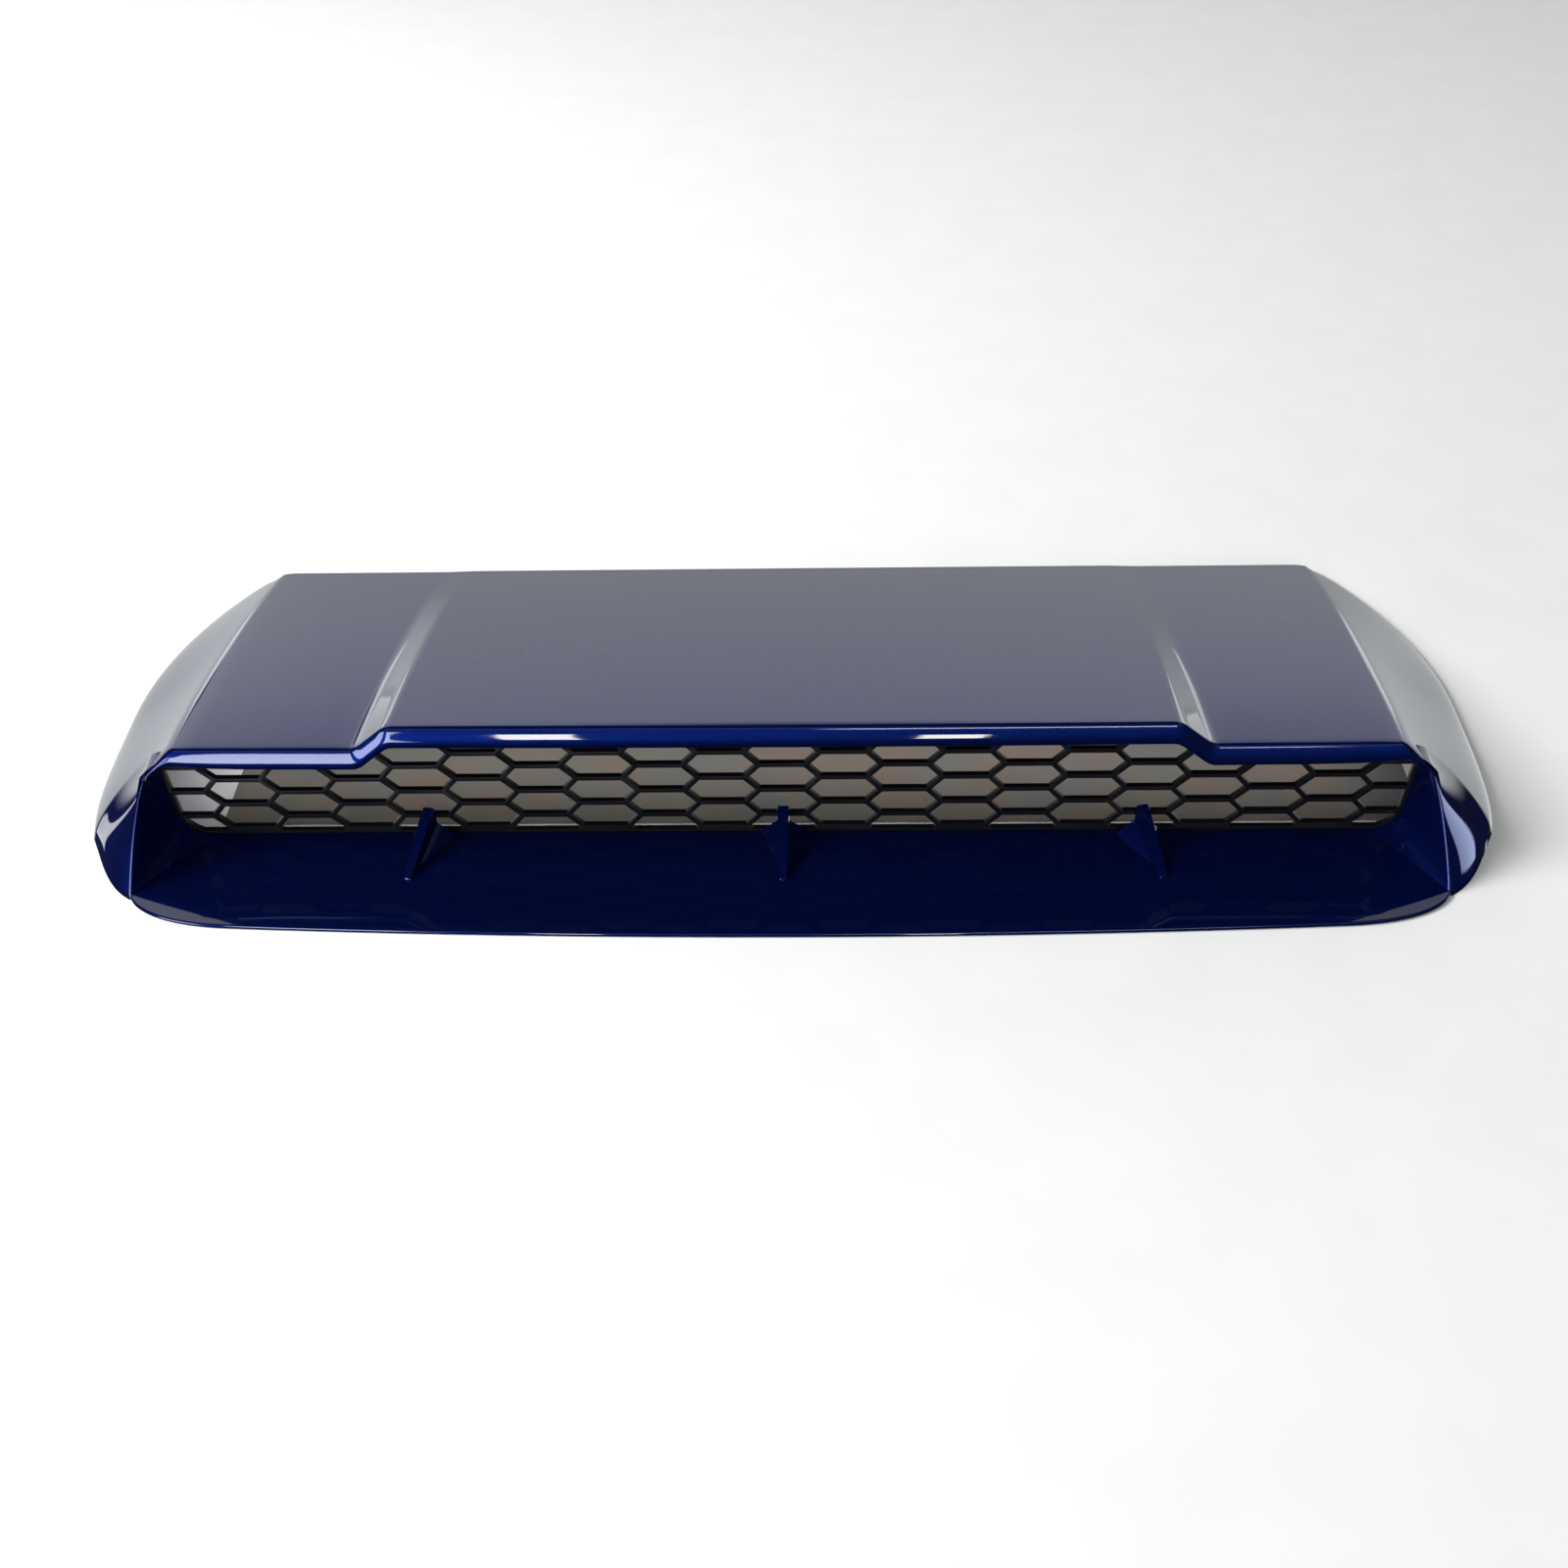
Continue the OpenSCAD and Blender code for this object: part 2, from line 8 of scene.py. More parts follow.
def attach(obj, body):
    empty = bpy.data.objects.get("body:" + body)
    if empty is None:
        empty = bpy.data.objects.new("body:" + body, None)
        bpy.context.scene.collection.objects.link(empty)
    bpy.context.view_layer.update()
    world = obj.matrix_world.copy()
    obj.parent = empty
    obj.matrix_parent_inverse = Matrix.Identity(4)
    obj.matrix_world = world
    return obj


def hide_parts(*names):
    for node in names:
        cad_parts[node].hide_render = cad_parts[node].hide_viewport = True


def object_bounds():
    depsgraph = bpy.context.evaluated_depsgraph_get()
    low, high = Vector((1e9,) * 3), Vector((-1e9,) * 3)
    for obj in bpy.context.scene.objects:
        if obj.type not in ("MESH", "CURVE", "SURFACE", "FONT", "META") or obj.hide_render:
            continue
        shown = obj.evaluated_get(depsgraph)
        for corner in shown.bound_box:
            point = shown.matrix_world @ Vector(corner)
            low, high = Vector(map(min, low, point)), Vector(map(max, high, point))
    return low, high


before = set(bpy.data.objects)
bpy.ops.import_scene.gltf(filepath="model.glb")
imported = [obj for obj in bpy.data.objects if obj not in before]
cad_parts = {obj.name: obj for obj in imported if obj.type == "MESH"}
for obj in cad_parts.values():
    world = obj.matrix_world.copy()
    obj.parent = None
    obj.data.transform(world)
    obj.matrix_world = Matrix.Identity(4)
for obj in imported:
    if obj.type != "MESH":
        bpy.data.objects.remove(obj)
cad_low, cad_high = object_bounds()

# Painted skin: the visible moulding, an ABS shell 3 mm thick that is injection moulded in one
# piece. A raised centre panel steps down to two shoulders, the flanks round down to the base, and
# the band round the mouth turns in as the throat. It is sprayed blue metallic under clearcoat.
mm = 0.001

# Lengths are in millimetres and give the right half, which the left half mirrors.
wall = 3
half_width, widest_y = 443, 14
foot_x, foot_y, front_curve = 394, -143, 4.3
end_y, end_inset, rear_curve = 173, 61, 2.1
corner_length, corner_inset = 15, 30
brow_y, brow_z = -101, 102
rear_y, rear_round = 167, 6
roof_drop, roof_pitch = 92.5, math.tan(math.radians(14))
step_front, step_rear = 17.5, 0.8
panel_front, panel_rear, ramp_width = 225, 232, 28
crease_front, crease_rear, crease_round = 360, 375, 3.5
rim_height, rim_lean = 3, 1.5
knee_height, knee_lean = 3.2, 1.4
flank_low, flank_high = 0.012, 0.958
flank_turn_run, flank_turn_height = 0.05, 0.17


def mix(a, b, t):
    return a + (b - a) * t


def clamp(t):
    return min(max(t, 0.0), 1.0)


def bezier(a, b, c, t):
    return a * (1 - t) ** 2 + b * 2 * t * (1 - t) + c * t * t


def along_roof(y):
    """The share of the way from the brow (0) to the rear edge (1)."""
    return (y - brow_y) / (rear_y - brow_y)


def step_at(y):
    """How far the shoulders lie below the centre panel."""
    return mix(step_front, step_rear, along_roof(y))


def panel_z(y):
    """Height of the centre panel, which falls ever faster towards the rear."""
    bend = roof_drop - roof_pitch * (rear_y - brow_y)
    return brow_z - roof_pitch * (y - brow_y) - bend * along_roof(y) ** 2


def panel_x(y):
    return mix(panel_front, panel_rear, along_roof(y))


def ramp_x(y):
    return panel_x(y) + ramp_width


def crease_x(y):
    return mix(crease_front, crease_rear, along_roof(y))


def crease_z(y):
    return panel_z(y) - step_at(y)


def roof_z(x, y):
    """Height of the roof. The ramp from the panel to the shoulder is eased at both ends."""
    soft = 0.28
    t = clamp((x - panel_x(y)) / (ramp_x(y) - panel_x(y)))
    fall = (t - soft / 2) / (1 - soft)
    if t < soft:
        fall = t * t / (2 * soft * (1 - soft))
    if t > 1 - soft:
        fall = 1 - (1 - t) ** 2 / (2 * soft * (1 - soft))
    return panel_z(y) - step_at(y) * fall


def base_x(y):
    """Half the width at the base, with a rounded corner at the rear."""
    if y < widest_y:
        forward = (widest_y - y) / (widest_y - foot_y)
        return half_width - (half_width - foot_x) * forward**front_curve
    backward = (y - widest_y) / (end_y - widest_y)
    u = clamp((y - (end_y - corner_length)) / corner_length)
    corner = corner_inset * (1 - math.sqrt(1 - u * u))
    return half_width - end_inset * backward**rear_curve - corner


def flank_point(y, h):
    """A point of the flank in the section at y, from the rim (h = 0) to the crease (h = 1)."""
    low = Vector((base_x(y) - rim_lean, y, rim_height))
    top = Vector((crease_x(y), y, crease_z(y)))
    turn_x = mix(low.x, top.x, flank_turn_run)
    turn = Vector((turn_x, y, mix(rim_height, top.z, flank_turn_height)))
    return bezier(low, turn, top, h)


# Each column of the skin is (part, place): the upright rim, the flank by height, the rounded
# crease, or the roof by its share of the way from the crease to the middle.
columns = [("rim", 0.0), ("rim", 0.55), ("rim", 0.8)]
columns += [("flank", mix(flank_low, flank_high, (i / 30) ** 1.15)) for i in range(31)]
columns += [("crease", (i + 1) / 6) for i in range(5)]
columns += [("shoulder", i / 9) for i in range(9)]
columns += [("ramp", i / 20) for i in range(21)]
columns += [("panel", (i + 1) / 9) for i in range(9)]
side_parts = ("rim", "flank", "crease")


def section_point(y, column):
    """A point of the roof or flank in the section at y."""
    part, t = column
    if part == "rim":
        foot = Vector((base_x(y), y, 0))
        knee = Vector((base_x(y) - knee_lean, y, knee_height))
        return bezier(foot, knee, flank_point(y, flank_low), t)
    if part == "flank":
        return flank_point(y, t)
    edge = Vector((crease_x(y) - crease_round, y, crease_z(y)))
    if part == "crease":
        corner = Vector((crease_x(y), y, crease_z(y)))
        return bezier(flank_point(y, flank_high), corner, edge, t)
    x = {
        "shoulder": mix(edge.x, ramp_x(y), t),
        "ramp": mix(ramp_x(y), panel_x(y), t),
        "panel": mix(panel_x(y), 0, t),
    }[part]
    return Vector((x, y, roof_z(x, y)))


def height_share(column, above=1.0):
    part, t = column
    return {"rim": 0.0, "flank": t}.get(part, above)


# The brow is bowed in plan, and the pillars' outer edge lies behind it by so much at the foot, at
# the belly and at the top. The lag dies out over lag_length.
brow_bow = 2.5
lag_foot, lag_belly, lag_top = 6, 14, 3
lag_length = 70


def lag(column):
    """How far the band's outer edge lies behind the brow's line. The brow ends in a small nose."""
    part, t = column
    bow = brow_bow * min(section_point(brow_y, column).x / crease_front, 1) ** 2
    if part not in side_parts:
        return bow
    h = height_share(column, flank_high)
    behind = lag_foot * (1 - h) + lag_belly * math.sin(math.pi * h * h) + lag_top * h * h
    return bow + behind * ((1 - t) ** 2 if part == "crease" else 1)


def roof_point(y, column):
    """A point of the roof or flank, drawn back near the front to the band's outer edge."""
    fade = clamp(1 - (y - brow_y) / lag_length)
    return section_point(y + lag(column) * fade * (0.5 + 0.5 * fade), column)


# The mouth's edge runs from the tray's corner up the pillar, round a corner and under the brow,
# which lifts a little near its end. The throat runs back from it to the grille's plane.
sill_z, pillar_height = 1.2, 66
mouth_top_x, mouth_top_y, mouth_top_z, mouth_flare = 370, -101.5, 72, 24.5
mouth_corner = Vector((370.5, -101.8, 71.9))
brow_depth, brow_reach = 15, 3
brow_lift, lift_x, lift_length = 2.5, 320, 45
brow_end_x, mouth_end_x = 355.5, 362
throat_x, throat_corner, grille_y = 375, 18, -90


def brow_point(x):
    """The mouth's upper edge under the brow."""
    lift = brow_lift * clamp((x - lift_x) / lift_length) ** 2
    y = brow_y - brow_reach + brow_bow * (x / crease_front) ** 2
    return Vector((x, y, roof_z(x, brow_y) - brow_depth + lift))


def side_point(z):
    """The mouth's side edge, which flares and comes forward towards the foot."""
    below = clamp(1 - z / mouth_top_z)
    x = mouth_top_x + mouth_flare * math.sqrt(below)
    return Vector((x, mix(mouth_top_y, foot_y, below), z))


def mouth_point(column):
    """The point of the mouth's edge where a column turns in."""
    part, t = column
    if part == "rim":
        return side_point(sill_z * t)
    if part == "flank":
        return side_point(sill_z + pillar_height * t)
    if part == "crease":
        start = side_point(sill_z + pillar_height * flank_high)
        return bezier(start, mouth_corner, brow_point(mouth_end_x), t)
    x = section_point(brow_y, column).x
    spread = clamp((x - lift_x) / (brow_end_x - lift_x)) ** 2
    return brow_point(x + (mouth_end_x - brow_end_x) * spread)


def throat_point(column, t):
    """From the mouth's edge (t = 0) to the grille's plane (t = 1)."""
    edge = mouth_point(column)
    x = edge.x
    if column[0] in side_parts:
        drop = max(throat_corner - max(edge.z - wall, 0), 0)
        end = throat_x - throat_corner + math.sqrt(throat_corner * throat_corner - drop * drop)
        end = mix(end, edge.x, 0.0 if column[0] != "crease" else column[1])
        x = mix(edge.x, end, t)
    return Vector((x, mix(edge.y, grille_y, t), edge.z))


# The band swells between its edges: outwards and forwards at the pillars, less so at their top,
# and forwards and up at the brow. Both swell most near the mouth.
pillar_out, pillar_ahead, pillar_up = 0.62, -0.72, 0.3
pillar_foot_swell, pillar_top_swell = 5.5, 2.0
pillar_outer_crown, pillar_mouth_crown = 1.5, 5.2
brow_lean = Vector((0, -1, 0.35))
brow_outer_crown, brow_mouth_crown = 5, 8


def band_point(column, t):
    """From the band's outer edge (t = 0) to the mouth's edge (t = 1), crowned in between."""
    part, place = column
    outer = section_point(brow_y + lag(column), column)
    if part in ("rim", "flank"):
        lean = Vector((pillar_out, pillar_ahead, pillar_up * height_share(column)))
        lean *= mix(pillar_foot_swell, pillar_top_swell, place)
        crown = lean * (t * (1 - t) * mix(pillar_outer_crown, pillar_mouth_crown, t))
    else:
        crown = brow_lean * (t * (1 - t) * mix(brow_outer_crown, brow_mouth_crown, t))
    return outer.lerp(mouth_point(column), t) + crown


def rounded(before, corner, after, count):
    """The points between two ends, on a curve that rounds the corner."""
    return [bezier(before, corner, after, (i + 1) / (count + 1)) for i in range(count)]


def rear_point(column, turn):
    """A point of the rounded rear edge, at an angle from the roof's end (0) down to the base."""
    y = rear_y + rear_round * math.sin(turn)
    p = roof_point(rear_y, column)
    return Vector((p.x * base_x(y) / base_x(rear_y), y, p.z * math.cos(turn)))


# Radii of the band's edges. The outer edge is crisp at the pillar's foot and along the brow.
foot_radius, top_radius, crease_radius, brow_radius = 2.2, 6.5, 5.5, 2.0
soften_from, soften_over = 0.66, 0.28
mouth_radius = 1.9


def edge_radius(column):
    """Radius of the band's outer edge, which is softer at the pillar's top."""
    part, t = column
    if part in ("rim", "flank"):
        softer = clamp((height_share(column) - soften_from) / soften_over)
        return mix(foot_radius, top_radius, softer)
    return mix(crease_radius, brow_radius, t) if part == "crease" else brow_radius


def column_points(column):
    """One column of the skin, from the throat's end over the band and the roof to the rear edge."""
    radius = edge_radius(column)
    across = max((band_point(column, 0) - band_point(column, 1)).length, 4)
    deep = max((throat_point(column, 1) - throat_point(column, 0)).length, 4)
    outer_r, mouth_r = min(radius / across, 0.3), min(mouth_radius / across, 0.3)
    inner = throat_point(column, min(mouth_radius / deep, 0.2))
    points = [throat_point(column, t) for t in (1, 0.8, 0.6, 0.45, 0.33, 0.25)]
    points += [inner, *rounded(inner, mouth_point(column), band_point(column, 1 - mouth_r), 4)]
    points += [band_point(column, mix(1 - mouth_r, outer_r, i / 13)) for i in range(14)]
    first = brow_y + radius
    points += rounded(points[-1], band_point(column, 0), roof_point(first, column), 6)
    points += [roof_point(mix(first, rear_y, (i / 40) ** 1.15), column) for i in range(41)]
    turns = (11, 22, 34, 46, 58, 68, 76, 83, 90)
    points += [rear_point(column, math.radians(turn)) for turn in turns]
    return points


half = [column_points(c) for c in columns]
mirrored = [[Vector((-p.x, p.y, p.z)) for p in points] for points in half[-2::-1]]
skin_columns = half + mirrored
steps_across, steps_along = len(skin_columns) - 1, len(half[0]) - 1
skin = bmesh.new()
bmesh.ops.create_grid(skin, x_segments=steps_across, y_segments=steps_along, size=1)
for v in skin.verts:
    i = round((v.co.x + 1) / 2 * steps_across)
    j = round((v.co.y + 1) / 2 * steps_along)
    v.co = skin_columns[i][j] * mm
skin.normal_update()
if sum(f.normal.z for f in skin.faces) < 0:
    bmesh.ops.reverse_faces(skin, faces=skin.faces)
bmesh.ops.solidify(skin, geom=skin.faces, thickness=wall * mm)
for v in skin.verts:
    v.co = [max(low, min(high, c)) for c, low, high in zip(v.co, cad_low, cad_high)]


def linear(hex_colour):
    """An sRGB hex colour as linear RGBA."""
    parts = [int(hex_colour[i : i + 2], 16) / 255 for i in (1, 3, 5)]
    return [p / 12.92 if p <= 0.04045 else ((p + 0.055) / 1.055) ** 2.4 for p in parts] + [1.0]


def add_node(tree, kind, settings=None, inputs=None, links=None):
    """Adds a shader node, sets its properties and inputs, and links sockets to its inputs."""
    made = tree.nodes.new(kind)
    for name, value in (settings or {}).items():
        setattr(made, name, value)
    for name, value in (inputs or {}).items():
        made.inputs[name].default_value = value
    for name, socket in (links or {}).items():
        tree.links.new(socket, made.inputs[name])
    return made


def new_material(name, inputs):
    """A material with its shader's own sockets set, its tree, its shader and its coordinates."""
    material = bpy.data.materials.new(name)
    material.use_nodes = True
    tree = material.node_tree
    shader = tree.nodes["Principled BSDF"]
    for key, value in inputs.items():
        shader.inputs[key].default_value = value
    coordinates = add_node(tree, "ShaderNodeTexCoord")
    return material, tree, shader, {"Vector": coordinates.outputs["Object"]}


def new_object(name, mesh, material):
    """Turns a bmesh into an object at the origin, with one material."""
    data = bpy.data.meshes.new(name)
    mesh.to_mesh(data)
    mesh.free()
    data.materials.append(material)
    made = bpy.data.objects.new(name, data)
    bpy.context.scene.collection.objects.link(made)
    return made


def place_piece(name, mesh, material, node, smooth, flat_over=1.0):
    """Puts a bmesh in place of a CAD node. Faces over an area in square metres are flat shaded."""
    made = new_object(name, mesh, material)
    made.data.shade_smooth()
    made.data.set_sharp_from_angle(angle=math.radians(smooth))
    for face in made.data.polygons:
        face.use_smooth = face.area < flat_over
    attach(made, "root")
    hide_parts(node)


# Blue metallic basecoat under clearcoat: aluminium flake in a deep blue binder glows blue where a
# light strikes it and goes near black away from it, and the clearcoat adds sharp reflections. Real
# flakes are under 0.1 mm, so they are drawn 0.6 mm across to show, and the orange peel of the
# sprayed coat 8 mm across, as it is.
flake_size, peel_size = 0.6, 8
paint, tree, shader, on_object = new_material(
    "metallic_paint_clearcoat",
    {
        "Metallic": 0.85,
        "Specular IOR Level": 0.0,
        "Specular Tint": (0, 0, 0, 1),
        "Coat Weight": 1.0,
        "Coat Roughness": 0.03,
        "Coat IOR": 1.5,
    },
)
flake = add_node(tree, "ShaderNodeTexVoronoi", {}, {"Scale": 1 / (flake_size * mm)}, on_object)
tone = add_node(tree, "ShaderNodeValToRGB", links={"Fac": flake.outputs["Color"]})
tone.color_ramp.elements[0].color = linear("#051858")
tone.color_ramp.elements[1].color = linear("#0B2575")
tree.links.new(tone.outputs["Color"], shader.inputs["Base Color"])
sheen = add_node(
    tree,
    "ShaderNodeMapRange",
    inputs={"To Min": 0.42, "To Max": 0.52},
    links={"Value": flake.outputs["Distance"]},
)
tree.links.new(sheen.outputs["Result"], shader.inputs["Roughness"])
peel_look = {"Scale": 1 / (peel_size * mm), "Detail": 1.0}
peel = add_node(tree, "ShaderNodeTexNoise", {}, peel_look, on_object)
bump = add_node(
    tree,
    "ShaderNodeBump",
    inputs={"Strength": 0.05, "Distance": 0.0001},
    links={"Height": peel.outputs["Fac"]},
)
tree.links.new(bump.outputs["Normal"], shader.inputs["Coat Normal"])

place_piece("painted_skin", skin, paint, "shell", 60)

# Tray: the floor of the intake, ahead of the grille. It is the same moulding, 3 mm thick, with a
# bowed lip whose corners sweep back to the pillars' feet.
front_y, lip_x, lip_bow, lip_radius = -173, 330, 7.5, 1.1
corner_turns = Vector((372, -163.5)), Vector((389.5, -151))

# The tray's sides run back beside the throat and are tucked into its wall by so much.
tuck = 1.2


def extrude(mesh, faces, by):
    """Extrudes faces by a vector in millimetres and returns the new vertices."""
    made = bmesh.ops.extrude_face_region(mesh, geom=faces)
    verts = [v for v in made["geom"] if isinstance(v, bmesh.types.BMVert)]
    bmesh.ops.translate(mesh, verts=verts, vec=Vector(by) * mm)
    return verts


def ease(mesh, edges, radius, segments, clamp_overlap=True):
    """Rounds edges to a radius in millimetres."""
    bmesh.ops.bevel(
        mesh,
        geom=edges,
        offset=radius * mm,
        offset_type="OFFSET",
        affect="EDGES",
        segments=segments,
        profile=0.5,
        material=-1,
        clamp_overlap=clamp_overlap,
    )


bow = [(lip_x * i / 10, front_y + lip_bow * (i / 10) ** 2) for i in range(10)]
a, d = Vector((lip_x, front_y + lip_bow)), Vector((foot_x, foot_y))
b, c = corner_turns
swept = [bezier(a, b, c, i / 16).lerp(bezier(b, c, d, i / 16), i / 16) for i in range(17)]
right = bow + [(p.x, p.y) for p in swept]
for y in (-142, -138, -130, -120, -110, -100, grille_y):
    inwards = clamp((y - foot_y) / (grille_y - foot_y))
    right.append((mix(foot_x, throat_x - throat_corner, inwards) + tuck, y))
outline = right + [(-x, y) for x, y in right[:0:-1]]
tray = bmesh.new()
top = tray.faces.new([tray.verts.new((x * mm, y * mm, wall * mm)) for x, y in outline])
extrude(tray, [top], (0, 0, -wall))
bmesh.ops.recalc_face_normals(tray, faces=tray.faces)
lip_end = (foot_y + 2) * mm
lip = [
    e for e in tray.edges if e.calc_face_angle(0) > 1 and all(v.co.y < lip_end for v in e.verts)
]
ease(tray, lip, lip_radius, 4, clamp_overlap=False)
place_piece("intake_tray", tray, paint, "shell", 40, 0.01)

# Splitter fins: three blades on wedge feet that stand on the tray against the grille. The outer
# two turn outwards. They are moulded with the tray and painted with it.
fin_gap, fin_turn, fin_length, fin_thickness, tip_taper = 218, 14, 41, 7.2, 0.6
blade_side = ((0, 1), (0, 25.5), (-2.5, 24.6), (-40.5, 4.2), (-41.2, 2.8), (-41.2, 1))
wedge_back = ((-14, 1.5), (14, 1.5), (14, 4), (3, 13.5), (-3, 13.5), (-14, 4))
wedge_foot, wedge_length, tip_width, tip_height = 1.5, 31, 0.2, 0.17
fin_back, fin_overrun = -90.1, 0.2
blade_radius, wedge_radius = 2.4, 0.8
fins = bmesh.new()
for side in (-1, 0, 1):
    turn = Matrix.Rotation(math.radians(fin_turn * side), 4, "Z")
    stand = Matrix.Translation((side * fin_gap * mm, (fin_back - fin_overrun) * mm, 0)) @ turn
    blade = bmesh.new()
    near = -fin_thickness / 2 * mm
    face = blade.faces.new([blade.verts.new((near, y * mm, z * mm)) for y, z in blade_side])
    extrude(blade, [face], (fin_thickness, 0, 0))
    bmesh.ops.recalc_face_normals(blade, faces=blade.faces)
    for v in blade.verts:
        v.co.x *= mix(1, tip_taper, clamp(-v.co.y / (fin_length * mm)))
    # Only the short edges at the blade's back and tip are rounded. The long ones stay crisp.
    end_edges = []
    for e in blade.edges:
        across = abs(e.verts[0].co.x - e.verts[1].co.x)
        if across < 1 * mm and min(v.co.z for v in e.verts) > 2 * mm:
            end_edges.append(e)
    ease(blade, end_edges, blade_radius, 5)
    wedge = bmesh.new()
    back = wedge.faces.new([wedge.verts.new((x * mm, 0, z * mm)) for x, z in wedge_back])
    for v in extrude(wedge, [back], (0, -wedge_length, 0)):
        rise = v.co.z - wedge_foot * mm
        v.co = (v.co.x * tip_width, v.co.y, wedge_foot * mm + rise * tip_height)
    bmesh.ops.recalc_face_normals(wedge, faces=wedge.faces)
    ridges = []
    for e in wedge.edges:
        run = abs(e.verts[0].co.y - e.verts[1].co.y)
        if e.calc_face_angle(0) > 0.3 and run > 20 * mm:
            ridges.append(e)
    ease(wedge, ridges, wedge_radius, 3)
    for part in (blade, wedge):
        bmesh.ops.transform(part, matrix=stand, verts=part.verts)
        cut = bmesh.ops.bisect_plane(
            part,
            geom=part.verts[:] + part.edges[:] + part.faces[:],
            plane_co=(0, fin_back * mm, 0),
            plane_no=(0, 1, 0),
            clear_outer=True,
        )
        open_edges = [g for g in cut["geom_cut"] if isinstance(g, bmesh.types.BMEdge)]
        bmesh.ops.holes_fill(part, edges=open_edges)
        bmesh.ops.recalc_face_normals(part, faces=part.faces)
        copy = bpy.data.meshes.new("fin_part")
        part.to_mesh(copy)
        part.free()
        fins.from_mesh(copy)
        bpy.data.meshes.remove(copy)
place_piece("splitter_fins", fins, paint, "shell", 35)

# Bosses: four posts under the shoulders take the bonnet's screws through threaded inserts, and
# seven small ones round the throat's end, slimmer or shorter than in the solids to stay inside
# this thinner wall, take the grille's screws. They are part of the moulding.
post_radius, post_draft, post_foot, post_bury = 8, 0.4, 1, 1.8
insert_x, insert_front_y, insert_rear_y = 300, -5, 100
bore_wall, bore_depth = 3.8, 12
bosses = bmesh.new()
for x in (-insert_x, insert_x):
    for y in (insert_front_y, insert_rear_y):
        top = crease_z(y + post_radius) - post_bury
        post = bmesh.ops.create_cone(
            bosses,
            cap_ends=True,
            segments=48,
            radius1=post_radius * mm,
            radius2=(post_radius + post_draft) * mm,
            depth=(top - post_foot) * mm,
            matrix=Matrix.Translation((x * mm, y * mm, (top + post_foot) / 2 * mm)),
        )
        foot = [f for v in post["verts"] for f in v.link_faces if f.normal.z < -0.9]
        foot = list(dict.fromkeys(foot))
        bmesh.ops.inset_region(bosses, faces=foot, thickness=bore_wall * mm)
        extrude(bosses, foot, (0, 0, bore_depth))
        bmesh.ops.delete(bosses, geom=foot, context="FACES")

# Each screw boss is (x, z, depth, radius): five under the roof and one beside each throat end.
panel_screw_x, shoulder_screw_x, side_screw_x, side_screw_z = 180, 306.5, 381.25, 36
boss_y, boss_drop = -84.5, 6.9
roof_screws = (-panel_screw_x, 0, panel_screw_x, -shoulder_screw_x, shoulder_screw_x)
screw_bosses = [(x, roof_z(abs(x), boss_y) - boss_drop, 8, 3.2) for x in roof_screws]
screw_bosses += [(x, side_screw_z, 3, 4) for x in (-side_screw_x, side_screw_x)]
for x, z, depth, radius in screw_bosses:
    place = Matrix.Translation((x * mm, (fin_back - depth / 2) * mm, z * mm))
    bmesh.ops.create_cone(
        bosses,
        cap_ends=True,
        segments=32,
        radius1=radius * mm,
        radius2=radius * mm,
        depth=depth * mm,
        matrix=place @ Matrix.Rotation(math.pi / 2, 4, "X"),
    )
bmesh.ops.recalc_face_normals(bosses, faces=bosses.faces)
place_piece("screw_bosses", bosses, paint, "shell", 35)

# Grille: one flat honeycomb moulding in black polypropylene, screwed on from behind. Its mould is
# finely spark-eroded, grain 0.8 mm, which leaves a satin surface that varies a little in sheen.
grain_size, grille_ease = 0.8, 0.4
black, tree, shader, on_object = new_material(
    "black_polypropylene", {"IOR": 1.49, "Specular IOR Level": 0.3}
)
grain_look = {"Scale": 1 / (grain_size * mm), "Detail": 2.0}
grain = add_node(tree, "ShaderNodeTexNoise", {}, grain_look, on_object)
tone = add_node(tree, "ShaderNodeValToRGB", links={"Fac": grain.outputs["Fac"]})
tone.color_ramp.elements[0].color = linear("#070708")
tone.color_ramp.elements[1].color = linear("#0F0F11")
tree.links.new(tone.outputs["Color"], shader.inputs["Base Color"])
satin = add_node(
    tree,
    "ShaderNodeMapRange",
    inputs={"To Min": 0.45, "To Max": 0.55},
    links={"Value": grain.outputs["Fac"]},
)
tree.links.new(satin.outputs["Result"], shader.inputs["Roughness"])
bump = add_node(
    tree,
    "ShaderNodeBump",
    inputs={"Strength": 0.12, "Distance": 0.0002},
    links={"Height": grain.outputs["Fac"]},
)
tree.links.new(bump.outputs["Normal"], shader.inputs["Normal"])

honeycomb = bmesh.new()
honeycomb.from_mesh(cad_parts["grille"].data)
bmesh.ops.remove_doubles(honeycomb, verts=honeycomb.verts, dist=0.00001)
bmesh.ops.dissolve_limit(
    honeycomb, angle_limit=0.01, verts=honeycomb.verts, edges=honeycomb.edges
)
rims = [e for e in honeycomb.edges if e.calc_face_angle(0) > 0.5]
ease(honeycomb, rims, grille_ease, 2)
place_piece("honeycomb_grille", honeycomb, black, "grille", 50)

# Grille screws: seven pan-head self-tapping screws of zinc-plated steel, driven from behind. The
# plating is bluish and slightly mottled, with mottles 2 mm across that vary the sheen.
mottle_size = 2


def dress(node, material):
    """Gives a CAD node its finished material."""
    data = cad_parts[node].data
    data.materials.clear()
    data.materials.append(material)


